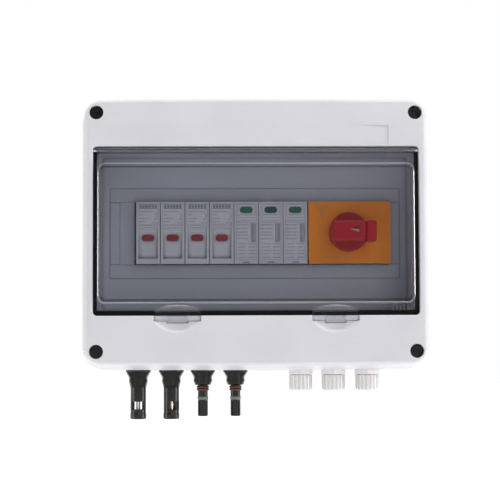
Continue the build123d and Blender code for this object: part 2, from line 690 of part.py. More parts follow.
def make_terminal_screws():
    """Clamp screws of fuse bases, surge protector and isolator."""
    screws = []
    places = [module_x(index) for index in range(FUSES + SPD_POLES)] + isolator_poles()
    for x in places:
        for side in (-1, 1):
            z = RAIL_Z + side * TERMINAL_Z
            screw = peg(x, z, CLAMP_SCREW_R, 53.7, 58.4) + peg(x, z, 2.7, 58.2, 60.4)
            screw -= Pos(x, -60.4, z) * Box(4.2, 1.6, 0.8)
            screws.append(screw)
    add("terminal_screws", *screws)


def make_comb_busbars():
    """Insulated comb bridges over two fuse bases each."""
    combs = []
    for first in (0, 2):
        x0 = module_x(first)
        x1 = module_x(first + 1)
        comb = block(x0 - 5, x1 + 5, 51.8, 53.2, RAIL_Z + BODY_HALF + 1.5, RAIL_Z + BODY_HALF + 11)
        for x in (x0, x1):
            comb += block(x - 1.8, x + 1.8, 51.8, 53.2, RAIL_Z + 27, RAIL_Z + BODY_HALF + 2)
        combs.append(comb)
    add("comb_busbars", *combs)


def make_spd_base():
    """Three-pole base of the surge protector with one slot for each cartridge."""
    x0 = module_x(FUSES) - DEVICE_W / 2
    x1 = module_x(FUSES + SPD_POLES - 1) + DEVICE_W / 2
    body = rail_prism(device_outline(), x0, x1)
    for index in range(FUSES, FUSES + SPD_POLES):
        x = module_x(index)
        body -= rail_block(x - 8.0, x + 8.0, 46, 63, -21.5, 21.5)
        for side in (-1, 1):
            z0, z1 = sorted((side * 12.0, side * 17.0))
            body -= rail_block(x - 1.0, x + 1.0, 36, 47, z0, z1)
        for cut in terminal_openings(x):
            body -= cut
    add("spd_base", body)


def make_spd_cartridge(index):
    """Plug-in protector cartridge with two contact blades and side grips."""
    x = module_x(FUSES + index)
    body = rail_block(x - 8.7, x + 8.7, SHOULDER_BODY_D + 0.4, NOSE_D, -NOSE_HALF, NOSE_HALF)
    body += rail_block(x - 7.7, x + 7.7, 46.4, SHOULDER_BODY_D + 1, -21.2, 21.2)
    for side in (-1, 1):
        z0, z1 = sorted((side * 12.4, side * 16.6))
        body += rail_block(x - 0.6, x + 0.6, 37, 47, z0, z1)
        for step in range(4):
            z = side * (NOSE_HALF - 0.2)
            d = 66.0 + 2.4 * step
            body -= rail_block(x - 5.0, x + 5.0, d, d + 1.2, min(z, side * 24), max(z, side * 24))
    body -= rail_block(x - 7.3, x + 7.3, NOSE_D - 0.3, NOSE_D + 1, 8.6, 21.4)
    body -= rail_block(x - 7.3, x + 7.3, NOSE_D - 0.3, NOSE_D + 1, -19.6, 7.6)
    body -= rail_block(x - 2.2, x + 2.2, NOSE_D - 1.2, NOSE_D + 1, -23.0, -21.0)
    body -= status_window(x)
    add(f"spd_cartridge_{index + 1}", body)


def status_window(x):
    """Oval status window near the top of a cartridge."""
    return extrude(Plane.XZ.offset(NOSE_D - 1.5) * Pos(x, RAIL_Z + 16.6) * SlotOverall(9.2, 4.6), 1.4)


def make_spd_window(index):
    """Green status window of a cartridge."""
    add(f"spd_window_{index + 1}", status_window(module_x(FUSES + index)))


# ---------------------------------------------------------------- isolator

def isolator_poles():
    """Centres of the four poles of the isolator."""
    centre = ISOLATOR_X0 + ISOLATOR_W / 2
    return [centre + 13.0 * (pole - 1.5) for pole in range(4)]


def make_isolator_body():
    """Rotary DC isolator body clipped on the rail."""
    x0 = ISOLATOR_X0
    x1 = ISOLATOR_X0 + ISOLATOR_W - 0.4
    body = rail_prism(device_outline(76.0), x0, x1)
    for x in isolator_poles():
        for cut in terminal_openings(x):
            body -= cut
        for side in (-1, 1):
            body += isolator_clamp(x, side)
    body -= peg(KNOB_X, RAIL_Z, 3.3, 50, 80)
    add("isolator_body", body)


def isolator_clamp(x, side):
    """Moulded-in clamp block of one isolator pole."""
    z0, z1 = sorted((side * 24.5, side * 37.5))
    body = rail_block(x - 5.0, x + 5.0, 36, 58, z0, z1)
    body -= post(x, WIRE_D, WIRE_R, RAIL_Z + z0 - 1, RAIL_Z + z1 + 1)
    body -= peg(x, RAIL_Z + side * TERMINAL_Z, CLAMP_SCREW_R, 53, 60)
    return body


def make_isolator_faceplate():
    """Square warning-coloured plate around the knob."""
    x0 = ISOLATOR_X0
    centre = x0 + ISOLATOR_W / 2
    body = plate(ISOLATOR_W - 0.4, 2 * NOSE_HALF, 0.8, 76.0, PLATE_D, x=centre - 0.2, z=RAIL_Z)
    body -= peg(KNOB_X, RAIL_Z, SHAFT_R + 1.0, 75, 80)
    add("isolator_faceplate", body)


def make_isolator_shaft():
    """Square-ended shaft that joins the knob to the contact block."""
    body = peg(KNOB_X, RAIL_Z, SHAFT_R, 52, 80)
    body += Pos(KNOB_X, -84, RAIL_Z) * Box(SHAFT_SQUARE, 8.0, SHAFT_SQUARE)
    add("isolator_shaft", body)


def make_isolator_knob():
    """Red rotary handle: skirt, grip pointing along +X and slot for the lock tab."""
    skirt = peg(KNOB_X, RAIL_Z, KNOB_R, PLATE_D + 0.4, KNOB_SKIRT_D)
    skirt = fillet(skirt.edges().filter_by(GeomType.CIRCLE).group_by(Axis.Y)[0], 1.6)
    outline = Circle(GRIP_R) & Pos(GRIP_END - GRIP_R, 0) * Rectangle(2 * GRIP_R, 2 * GRIP_HALF_H)
    outline = fillet(outline.vertices(), 3.0)
    back = KNOB_SKIRT_D - 1.5
    grip = extrude(Plane.XZ.offset(back) * Pos(KNOB_X, RAIL_Z) * outline, KNOB_TOP_D - back)
    grip = fillet(grip.edges().group_by(Axis.Y)[0], GRIP_EDGE_R)
    body = skirt + grip
    body -= block(KNOB_X - 3.6, KNOB_X + 16, 89.2, 93.4, RAIL_Z - 4.6, RAIL_Z + 4.6)
    body -= Pos(KNOB_X, -83, RAIL_Z) * Box(SHAFT_SQUARE + 0.1, 10.2, SHAFT_SQUARE + 0.1)
    body -= peg(KNOB_X, RAIL_Z, SHAFT_R + 0.2, PLATE_D, 80.2)
    add("isolator_knob", body)


def make_knob_lock_tab():
    """Sliding padlock tab in the end of the handle."""
    head = plate(LOCK_TAB_W, LOCK_TAB_H, 1.8, KNOB_SKIRT_D + 0.5, 95.6, x=KNOB_X + LOCK_TAB_X, z=RAIL_Z)
    head = fillet(head.edges().group_by(Axis.Y)[0], 1.2)
    tongue = block(KNOB_X - 2.6, KNOB_X + LOCK_TAB_X - 1, 89.5, 93.1, RAIL_Z - 4.2, RAIL_Z + 4.2)
    body = head + tongue
    body -= peg(KNOB_X + LOCK_HOLE_X, RAIL_Z, LOCK_HOLE_R, 85, 97)
    add("knob_lock_tab", body)


# ---------------------------------------------------------------- cable entries

def connector_wings(x, profile):
    """Flared collar behind a connector's barrel, flattened front and back."""
    flare = turned(x, ENTRY_D, profile)
    low = min(z for _, z in profile)
    return flare & block(x - 12, x + 12, ENTRY_D - WING_HALF, ENTRY_D + WING_HALF, low - 1, BOTTOM_Z)


def make_solar_socket(index):
    """Panel-mount connector with an open barrel and latch windows at front and back."""
    x = CONNECTOR_X[index]
    z = BOTTOM_Z
    barrel = [
        (0, z + 16), (CONNECTOR_THREAD_R, z + 16), (CONNECTOR_THREAD_R, z), (9.2, z), (9.2, z - 1.2),
        (SOCKET_NECK_R, z - 2.0), (SOCKET_NECK_R, z - 11.5), (SOCKET_R, z - 12.8), (SOCKET_R, z - 31.5),
        (SOCKET_R + 0.2, z - 32.5), (SOCKET_R + 0.2, z - 35.4), (SOCKET_R - 0.3, z - 36), (0, z - 36),
    ]
    flare = [
        (0, z), (9.2, z), (9.2, z - 1.2), (6.9, z - 5.4), (6.7, z - 6.6), (6.9, z - 8.6),
        (6.1, z - 11.4), (SOCKET_R, z - 14), (0, z - 14),
    ]
    body = turned(x, ENTRY_D, barrel) + connector_wings(x, flare)
    body -= post(x, ENTRY_D, 4.0, z - 37, z - 10)
    body -= post(x, ENTRY_D, WIRE_R, z - 11, z + 17)
    window = Pos(x, -ENTRY_D, z - 26.1) * Rot(0, 0, SOCKET_TURN[index])
    for side in (-1, 1):
        body -= window * Pos(0, side * 6.0, 0) * Box(2 * SOCKET_R, 6.4, 6.0)
    add(f"solar_socket_{index + 1}", body)


def make_solar_plug(index):
    """Panel-mount connector with a slim fingered barrel."""
    x = CONNECTOR_X[index + 2]
    z = BOTTOM_Z
    barrel = [
        (0, z + 16), (CONNECTOR_THREAD_R, z + 16), (CONNECTOR_THREAD_R, z), (9.1, z), (9.1, z - 1.2),
        (PLUG_NECK_R, z - 2.0), (PLUG_NECK_R, z - 10.4), (PLUG_R, z - 11.4), (PLUG_R, z - 19.4),
        (PLUG_R + 0.15, z - 19.6), (PLUG_R + 0.15, z - 21.8), (PLUG_R, z - 22.0), (PLUG_R, z - 33.4),
        (PLUG_R - 0.4, z - 34), (0, z - 34),
    ]
    flare = [
        (0, z), (9.1, z), (9.1, z - 1.2), (6.8, z - 5), (6.6, z - 6.4), (6.9, z - 8.2),
        (5.8, z - 11), (0, z - 11),
    ]
    body = turned(x, ENTRY_D, barrel) + connector_wings(x, flare)
    body -= post(x, ENTRY_D, 2.2, z - 35, z - 10)
    body -= post(x, ENTRY_D, WIRE_R, z - 11, z + 17)
    for turn in range(PLUG_SLOTS):
        slot = Pos(x, -ENTRY_D, z - 28.4) * Rot(0, 0, 360 / PLUG_SLOTS * (turn + 0.5))
        body -= slot * Pos(PLUG_R, 0, 0) * Box(1.2, 1.0, 11)
    add(f"solar_plug_{index + 1}", body)


def make_connector_contacts():
    """Metal pins in the sockets and sleeves in the plugs."""
    solids = []
    z = BOTTOM_Z
    for x in CONNECTOR_X[:2]:
        pin = post(x, ENTRY_D, 1.5, z - 31, z - 9) + post(x, ENTRY_D, WIRE_R, z - 10, z + 2)
        solids.append(pin)
    for x in CONNECTOR_X[2:]:
        sleeve = post(x, ENTRY_D, 2.2, z - 32.5, z - 9.5) + post(x, ENTRY_D, WIRE_R, z - 10, z + 2)
        sleeve -= post(x, ENTRY_D, 1.55, z - 34, z - 18)
        solids.append(sleeve)
    add("connector_contacts", *solids)


def make_connector_locknuts():
    """Hexagonal nuts on the connector threads inside the box."""
    nuts = []
    for x in CONNECTOR_X:
        nut = hexagon(x, ENTRY_D, 17.0, SEAT_Z, SEAT_Z + LOCKNUT_T)
        nut -= post(x, ENTRY_D, CONNECTOR_THREAD_R, FLOOR_Z - 1, FLOOR_Z + 6)
        nuts.append(nut)
    add("connector_locknuts", *nuts)


def make_plug_o_rings():
    """Sealing rings on the two plug barrels."""
    rings = []
    for x in CONNECTOR_X[2:]:
        for drop in (12.6, 14.4):
            ring = Pos(x, -ENTRY_D, BOTTOM_Z - drop) * Torus(PLUG_R + 0.1, 0.88)
            ring -= post(x, ENTRY_D, PLUG_R, BOTTOM_Z - drop - 2, BOTTOM_Z - drop + 2)
            rings.append(ring)
    add("plug_o_rings", *rings)


def make_glands():
    """Three cable glands: threaded body, dome nut, rubber seal and locknut."""
    z = BOTTOM_Z
    bodies = []
    nuts = []
    seals = []
    locks = []
    for x in GLAND_X:
        body = hexagon(x, ENTRY_D, GLAND_HEX, z - 3.5, z, turn=30)
        body += post(x, ENTRY_D, GLAND_THREAD_R, z - 0.5, z + 13)
        body += post(x, ENTRY_D, GLAND_NECK_R, z - 11, z - 3)
        body -= post(x, ENTRY_D, 5.6, z - 12, z + 14)
        bodies.append(body)
        nut = post(x, ENTRY_D, GLAND_NUT_R, z - 16, z - 4)
        nut = fillet(nut.edges().filter_by(GeomType.CIRCLE).group_by(Axis.Z)[0], GLAND_NUT_END_R)
        for rib in range(GLAND_RIBS):
            groove = Rot(0, 0, 360 / GLAND_RIBS * rib) * Pos(GLAND_NUT_R + 0.15, 0, 0)
            nut -= Pos(x, -ENTRY_D, z - 9.0) * groove * Box(1.1, 1.1, 12.0)
        nut -= post(x, ENTRY_D, GLAND_NECK_R, z - 11.2, z - 3)
        nut -= post(x, ENTRY_D, GLAND_SEAL_R, z - 17, z - 10)
        nuts.append(nut)
        seal = post(x, ENTRY_D, GLAND_SEAL_R, z - 15, z - 6)
        seals.append(seal - post(x, ENTRY_D, GLAND_BORE_R, z - 16, z - 5))
        lock = hexagon(x, ENTRY_D, 20.0, SEAT_Z, SEAT_Z + LOCKNUT_T)
        lock -= post(x, ENTRY_D, GLAND_THREAD_R, FLOOR_Z - 1, FLOOR_Z + 6)
        locks.append(lock)
    add("gland_bodies", *bodies)
    add("gland_dome_nuts", *nuts)
    add("gland_seals", *seals)
    add("gland_locknuts", *locks)


# ---------------------------------------------------------------- wiring

def wire(points):
    """Round wire along straight runs joined by arcs as large as the runs allow."""
    vectors = [Vector(x, -d, z) for x, d, z in points]
    radii = []
    for before, at, after in zip(vectors, vectors[1:], vectors[2:]):
        turn = math.radians((at - before).get_angle(after - at))
        shorter = min((at - before).length, (after - at).length)
        radii.append(0.45 * shorter / math.tan(turn / 2))
    path = FilletPolyline(*vectors, radius=radii)
    section = Plane(origin=path @ 0, z_dir=path % 0) * Circle(WIRE_R)
    solid = sweep(section, path=path)
    print("wire length", round(path.length, 1), "volume", round(solid.volume, 1),
          "section x length", round(math.pi * WIRE_R ** 2 * path.length, 1),
          "radii", [round(r, 1) for r in radii])
    return solid


def make_string_wires():
    """Wires from the connectors to the lower terminals of the fuse bases."""
    wires = []
    low = BOTTOM_Z + 2
    high = RAIL_Z - 37.0
    for index, x in enumerate(CONNECTOR_X):
        target = module_x(index)
        wires.append(wire([(x, ENTRY_D, low), (x, ENTRY_D, low + 26),
                           (target, WIRE_D, high - 18), (target, WIRE_D, high)]))
    add("string_wires", *wires)


def make_link_wires():
    """Wires over the top: fuses to isolator and fuses to surge protector."""
    start = RAIL_Z + 30.0
    poles = isolator_poles()
    wires = []
    for fuse, target, top in ((0, poles[2], 80.0), (2, poles[0], 71.0), (3, module_x(6), 62.0)):
        x = module_x(fuse)
        rise = top - start
        shift = 0.45 * rise
        wires.append(wire([(x, WIRE_D, start), (x, WIRE_D, start + 0.5 * rise), (x + shift, WIRE_D, top),
                           (target - shift, WIRE_D, top), (target, WIRE_D, start + 0.5 * rise),
                           (target, WIRE_D, start)]))
    x = module_x(1)
    target = module_x(4)
    wires.append(wire([(x, WIRE_D, start), (x, WIRE_D, start + 14), (x + 9, 35.5, 54),
                       (target - 9, 35.5, 54), (target, WIRE_D, start + 14), (target, WIRE_D, start)]))
    add("link_wires", *wires)


def make_earth_wire():
    """Wire from the middle pole of the surge protector to the earth bar."""
    x = module_x(5)
    start = RAIL_Z - 30.0
    add("earth_wire", wire([(x, WIRE_D, start), (x, WIRE_D, start - 22), (x + 8, WIRE_D - 9, EARTH_Z + 2),
                            (x + 21, EARTH_D, EARTH_Z), (EARTH_X0 + 1, EARTH_D, EARTH_Z)]))


def make_earth_bar():
    """Brass terminal bar on two moulded supports."""
    body = block(EARTH_X0, EARTH_X1, EARTH_D - 4, EARTH_D + 4, EARTH_Z - 4, EARTH_Z + 4)
    body -= bar_x(EARTH_D, EARTH_Z, WIRE_R, EARTH_X0 - 1, EARTH_X0 + 1)
    for x in (EARTH_X0 + 6, EARTH_X1 - 6):
        body -= peg(x, EARTH_Z, 1.7, EARTH_D - 5, EARTH_D + 5)
    for step in range(4):
        x = EARTH_X0 + 15 + 8.6 * step
        body -= post(x, EARTH_D - 0.5, 2.4, EARTH_Z - 5, EARTH_Z + 5)
        body -= peg(x, EARTH_Z, 1.6, EARTH_D, EARTH_D + 5)
    add("earth_bar", body)


def make_earth_bar_screws():
    """Fixing screws and clamp screws of the earth bar."""
    screws = []
    for x in (EARTH_X0 + 6, EARTH_X1 - 6):
        screw = peg(x, EARTH_Z, 1.35, WALL + 1, EARTH_D + 4.2) + peg(x, EARTH_Z, 2.8, EARTH_D + 4, EARTH_D + 6)
        screws.append(screw)
    for step in range(4):
        x = EARTH_X0 + 15 + 8.6 * step
        screw = peg(x, EARTH_Z, 1.6, EARTH_D + 2.2, EARTH_D + 4.2)
        screw += peg(x, EARTH_Z, 2.5, EARTH_D + 4, EARTH_D + 5.8)
        screw -= Pos(x, -(EARTH_D + 5.8), EARTH_Z) * Box(4.0, 1.4, 0.8)
        screws.append(screw)
    add("earth_bar_screws", *screws)


# ---------------------------------------------------------------- build

def main():
    """Make every node and write one STEP file for each."""
    make_back_box()
    make_front_cover()
    make_cover_gasket()
    make_cover_screws()
    make_dead_front_panel()
    make_dead_front_screws()
    make_blanking_strip()
    make_window_door()
    make_door_hinge_pins()
    make_door_gasket()
    make_din_rail()
    make_rail_screws()
    for index in range(FUSES):
        make_fuse_housing(index)
        make_fuse_carrier(index)
        make_fuse_link(index)
        make_fuse_indicator(index)
    make_fuse_contacts()
    make_comb_busbars()
    make_spd_base()
    for index in range(SPD_POLES):
        make_spd_cartridge(index)
        make_spd_window(index)
    make_terminal_screws()
    make_isolator_body()
    make_isolator_faceplate()
    make_isolator_shaft()
    make_isolator_knob()
    make_knob_lock_tab()
    for index in range(2):
        make_solar_socket(index)
        make_solar_plug(index)
    make_connector_contacts()
    make_connector_locknuts()
    make_plug_o_rings()
    make_glands()
    make_string_wires()
    make_link_wires()
    make_earth_wire()
    make_earth_bar()
    make_earth_bar_screws()
    os.makedirs("parts", exist_ok=True)
    for name, shape in PARTS.items():
        export_step(shape, f"parts/{name}.step")
    print(len(PARTS), "nodes")


main()
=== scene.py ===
"""Photovoltaic DC combiner box: materials, printed labels, stage, lights and camera.

Everything is in metres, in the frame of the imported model: +Z up, the front faces -Y.
"""

import math
import random

import bmesh
import bpy
from mathutils import Matrix, Vector


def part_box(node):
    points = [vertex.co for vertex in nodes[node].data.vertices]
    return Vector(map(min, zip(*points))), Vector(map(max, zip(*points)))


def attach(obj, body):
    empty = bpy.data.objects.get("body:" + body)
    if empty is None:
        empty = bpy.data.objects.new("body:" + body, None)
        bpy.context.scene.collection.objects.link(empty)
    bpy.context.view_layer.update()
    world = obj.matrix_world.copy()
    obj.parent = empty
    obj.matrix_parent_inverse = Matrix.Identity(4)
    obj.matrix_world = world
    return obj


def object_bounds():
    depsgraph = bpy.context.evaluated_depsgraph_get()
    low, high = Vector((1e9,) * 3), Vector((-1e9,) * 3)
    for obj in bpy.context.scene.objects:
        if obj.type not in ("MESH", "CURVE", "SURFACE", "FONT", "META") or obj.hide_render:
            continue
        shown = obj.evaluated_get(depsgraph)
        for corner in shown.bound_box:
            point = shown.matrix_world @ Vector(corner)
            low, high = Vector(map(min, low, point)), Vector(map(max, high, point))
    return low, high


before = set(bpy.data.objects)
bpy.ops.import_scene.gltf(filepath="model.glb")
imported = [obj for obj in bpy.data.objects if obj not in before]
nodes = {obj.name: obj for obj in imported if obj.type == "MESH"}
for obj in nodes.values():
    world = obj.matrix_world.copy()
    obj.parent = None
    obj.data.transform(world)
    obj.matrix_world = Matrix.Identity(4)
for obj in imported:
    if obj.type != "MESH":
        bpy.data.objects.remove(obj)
cad_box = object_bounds()

MM = 0.001
FUSES = 4
CARTRIDGES = 3

# Code rings of the plugs
PLUG_BAND_RISE = 12.2 * MM     # above the plug's tip
PLUG_BAND_H = 2.2 * MM
PLUG_BAND_R = 4.0 * MM
TAB_RISE = 4.9 * MM            # part of the grip tabs that is clear, from their lower edge

# Camera: long lens a little left of the box and below its middle, tilted slightly up
CAMERA_PLACE = Vector((-0.0329, -1.0928, -0.0734))
CAMERA_YAW = math.radians(0.989)
CAMERA_PITCH = math.radians(3.147)
CAMERA_ROLL = math.radians(-0.195)
CAMERA_LENS = 101.1
CAMERA_SENSOR = 36.0
CAMERA_SHIFT = (0.0319, 0.0165)

CORNER_REACH = 3.0 * MM        # how far corner shading reaches from a surface

EDGE_SHINE = 0.62              # mirror share of the door's outer edges
EDGE_ROUGH = 0.28
TAB_MILK = 0.3                 # milky share of the clear grip tabs

# Stage and lights
FLOOR_DROP = 0.14          # floor below the lowest connector
FLOOR_SIZE = 9.0
FLOOR_GLOW = 0.3
WORLD_BRIGHT = 1.0         # surround behind the box
WORLD_DARK = 0.16          # surround behind the camera


# ---------------------------------------------------------------- shader helpers

class Graph:
    """One material's node tree, with short calls that add and join nodes."""

    def __init__(self, name):
        self.material = bpy.data.materials.new(name)
        self.material.use_nodes = True
        self.tree = self.material.node_tree
        self.tree.nodes.clear()
        self.coordinates = self.add("ShaderNodeTexCoord")
        self.place = self.coordinates.outputs["Object"]

    def add(self, kind, inputs=None, **settings):
        """New node; inputs are sockets to link from or plain values."""
        node = self.tree.nodes.new(kind)
        for key, value in settings.items():
            setattr(node, key, value)
        for key, value in (inputs or {}).items():
            if isinstance(value, bpy.types.NodeSocket):
                self.tree.links.new(value, node.inputs[key])
            else:
                node.inputs[key].default_value = value
        return node

    def noise(self, size, detail=2.0, stretch=None):
        """Noise with features of about that size in metres."""
        place = self.place
        if stretch is not None:
            place = self.add("ShaderNodeMapping", {"Vector": place, "Scale": stretch}).outputs[0]
        node = self.add("ShaderNodeTexNoise", {"Vector": place, "Scale": 1.0 / size, "Detail": detail})
        return node.outputs["Fac"]

    def spread(self, value, low, high):
        """Map the middle of a noise value to a range."""
        node = self.add("ShaderNodeMapRange", {
            "Value": value, "From Min": 0.3, "From Max": 0.7, "To Min": low, "To Max": high})
        return node.outputs["Result"]

    def blend(self, value, first, second):
        """Colour between two colours by a 0 to 1 value."""
        node = self.add("ShaderNodeMix", data_type="RGBA")
        self.tree.links.new(value, node.inputs["Factor"])
        node.inputs["A"].default_value = first
        node.inputs["B"].default_value = second
        for key, colour in (("A", first), ("B", second)):
            for socket in node.inputs:
                if socket.name == key and socket.type == "RGBA":
                    socket.default_value = colour
        return next(s for s in node.outputs if s.type == "RGBA")

    def mix(self, value, first, second):
        """Colour between two colour sockets by a 0 to 1 value."""
        node = self.add("ShaderNodeMix", {0: value}, data_type="RGBA")
        self.tree.links.new(first, node.inputs[6])
        self.tree.links.new(second, node.inputs[7])
        return node.outputs[2]

    def bump(self, height, depth, normal=None):
        """Surface normal from a height value; depth is its full relief in metres."""
        inputs = {"Height": height, "Distance": depth, "Strength": 1.0}
        if normal is not None:
            inputs["Normal"] = normal
        return self.add("ShaderNodeBump", inputs).outputs["Normal"]

    def finish(self, shader):
        """Join the last shader to the output."""
        self.add("ShaderNodeOutputMaterial", {"Surface": shader.outputs[0]})
        return self.material


def shade(colour, factor):
    """Colour made lighter or darker, as RGBA."""
    return tuple(min(1.0, c * factor) for c in colour[:3]) + (1.0,)


def moulded(name, colour, roughness, grain=0.4 * MM, relief=0.012 * MM, drift=0.03, level=0.5,
            edge=0.25 * MM, corner=0.0):
    """Moulded plastic: fine grain, slow colour drift, uneven gloss and softened edges.

    corner is how much painted shade darkens the colour where surfaces meet in a narrow corner, from ambient
    occlusion.
    """
    g = Graph(name)
    slow = g.noise(38 * MM, detail=3.0)
    fine = g.noise(grain, detail=3.0)
    peel = g.noise(7 * MM, detail=1.0)
    base = g.blend(g.spread(slow, 0.0, 1.0), shade(colour, 1 - drift), shade(colour, 1 + drift))
    if corner:
        # painted shade: ambient occlusion darkens the base colour in narrow corners and recesses
        open_air = g.add("ShaderNodeAmbientOcclusion", {"Distance": CORNER_REACH}, samples=6).outputs["AO"]
        painted_corner_shade = g.add("ShaderNodeMapRange", {
            "Value": open_air, "From Min": 0.35, "From Max": 0.95,
            "To Min": 1.0 - corner, "To Max": 1.0}).outputs["Result"]
        base = g.add("ShaderNodeVectorMath", {0: base, "Scale": painted_corner_shade}, operation="SCALE").outputs[0]
    gloss = g.spread(peel, roughness - 0.05, roughness + 0.05)
    edges = g.add("ShaderNodeBevel", {"Radius": edge}, samples=4).outputs["Normal"]
    normal = g.bump(peel, 0.02 * MM, edges)
    normal = g.bump(fine, relief, normal)
    return g.finish(g.add("ShaderNodeBsdfPrincipled", {
        "Base Color": base, "Roughness": gloss, "Normal": normal, "Specular IOR Level": level}))


def metal(name, colour, roughness, stretch=(1, 1, 1), tarnish=0.15):
    """Plated or plain metal: fine drawn grain and patchy tarnish."""
    g = Graph(name)
    patch = g.noise(6 * MM, detail=4.0)
    grain = g.noise(0.5 * MM, detail=2.0, stretch=stretch)
    base = g.blend(g.spread(patch, 0.0, 1.0), shade(colour, 1 - tarnish), shade(colour, 1.05))
    gloss = g.spread(grain, roughness - 0.08, roughness + 0.1)
    return g.finish(g.add("ShaderNodeBsdfPrincipled", {
        "Base Color": base, "Metallic": 1.0, "Roughness": gloss, "Normal": g.bump(grain, 0.006 * MM)}))


def smoked(name, tint, edge_shade_tint, clear_tint, clear_below, gloss, haze):
    """Clear tinted sheet: light passes straight through each surface, darker by the tint.

    Surfaces that turn away from the sheet's plane are darker when seen from inside the sheet: partly the longer
    path through the material, partly painted shade standing in for the light that the steep walls bend away.
    Below the local height clear_below the plastic is nearly clear.
    """
    g = Graph(name)
    facing = g.add("ShaderNodeSeparateXYZ", {0: g.coordinates.outputs["Normal"]}).outputs["Y"]
    flat = g.add("ShaderNodeMath", {0: facing}, operation="ABSOLUTE").outputs[0]
    turned = g.add("ShaderNodeMapRange", {
        "Value": flat, "From Min": 0.94, "From Max": 0.70, "To Min": 0.0, "To Max": 1.0}).outputs["Result"]
    geometry = g.add("ShaderNodeNewGeometry")
    inside = geometry.outputs["Backfacing"]
    # painted shade: where inner faces of the steep walls turn away from the sheet, the light through them is
    # darkened towards the edge tint
    edge_shade = g.add("ShaderNodeMath", {0: turned, 1: inside}, operation="MULTIPLY").outputs[0]
    through = g.blend(edge_shade, tint, edge_shade_tint)
    height = g.add("ShaderNodeSeparateXYZ", {0: g.place}).outputs["Z"]
    below = g.add("ShaderNodeMapRange", {
        "Value": height, "From Min": clear_below, "From Max": clear_below - 0.8 * MM,
        "To Min": 0.0, "To Max": 1.0}).outputs["Result"]
    through = g.mix(below, through, g.blend(edge_shade, clear_tint, edge_shade_tint))
    # the sheet is modelled solid, so the index is inverted where a ray meets a surface from inside
    index = g.add("ShaderNodeMapRange", {
        "Value": inside, "From Min": 0.0, "From Max": 1.0,
        "To Min": 1.5, "To Max": 1 / 1.5}).outputs["Result"]
    wave = g.bump(g.noise(30 * MM, detail=1.0), 0.012 * MM)
    mirror = g.add("ShaderNodeFresnel", {"IOR": index, "Normal": wave}).outputs["Fac"]
    # the polished outer edges gather light from all round
    outer = g.add("ShaderNodeMath", {0: turned, 1: edge_shade}, operation="SUBTRACT").outputs[0]
    shine = g.add("ShaderNodeMath", {0: outer, 1: EDGE_SHINE}, operation="MULTIPLY").outputs[0]
    mirror = g.add("ShaderNodeMath", {0: mirror, 1: shine}, operation="MAXIMUM").outputs[0]
    clear = g.add("ShaderNodeBsdfTransparent", {"Color": through})
    haze_map = g.spread(g.noise(9 * MM, detail=3.0), gloss - haze, gloss + haze)
    rough = g.add("ShaderNodeMath", {0: outer, 1: EDGE_ROUGH, 2: haze_map}, operation="MULTIPLY_ADD").outputs[0]
    coat = g.add("ShaderNodeBsdfGlossy", {"Color": (1, 1, 1, 1), "Roughness": rough, "Normal": wave})
    sheet = g.add("ShaderNodeMixShader", {0: mirror, 1: clear.outputs[0], 2: coat.outputs[0]})
    milk = g.add("ShaderNodeBsdfDiffuse", {"Color": (0.70, 0.70, 0.74, 1.0)})
    share = g.add("ShaderNodeMath", {0: below, 1: TAB_MILK}, operation="MULTIPLY").outputs[0]
    return g.finish(g.add("ShaderNodeMixShader", {0: share, 1: sheet.outputs[0], 2: milk.outputs[0]}))


def lamp_window(name, colour, edge_shade):
    """Small coloured plastic lens, with painted shade towards its rim where it turns from the view."""
    g = Graph(name)
    # painted shade: the colour darkens towards the rim colour where the lens turns away from the camera
    facing = g.add("ShaderNodeLayerWeight", {"Blend": 0.35}).outputs["Facing"]
    patch = g.spread(g.noise(2.5 * MM, detail=2.0), 0.0, 0.5)
    mixed = g.add("ShaderNodeMath", {0: facing, 1: patch}, operation="MAXIMUM").outputs[0]
    base = g.blend(mixed, colour, edge_shade)
    gloss = g.spread(g.noise(1.2 * MM), 0.12, 0.22)
    return g.finish(g.add("ShaderNodeBsdfPrincipled", {
        "Base Color": base, "Roughness": gloss, "Normal": g.bump(g.noise(1.8 * MM), 0.01 * MM)}))


def ink(name, colour):
    """Printed ink, a little uneven."""
    g = Graph(name)
    base = g.blend(g.spread(g.noise(0.8 * MM), 0.0, 1.0), shade(colour, 0.9), shade(colour, 1.12))
    return g.finish(g.add("ShaderNodeBsdfPrincipled", {
        "Base Color": base, "Roughness": g.spread(g.noise(1.5 * MM), 0.45, 0.6)}))


# ---------------------------------------------------------------- materials of the record's slots

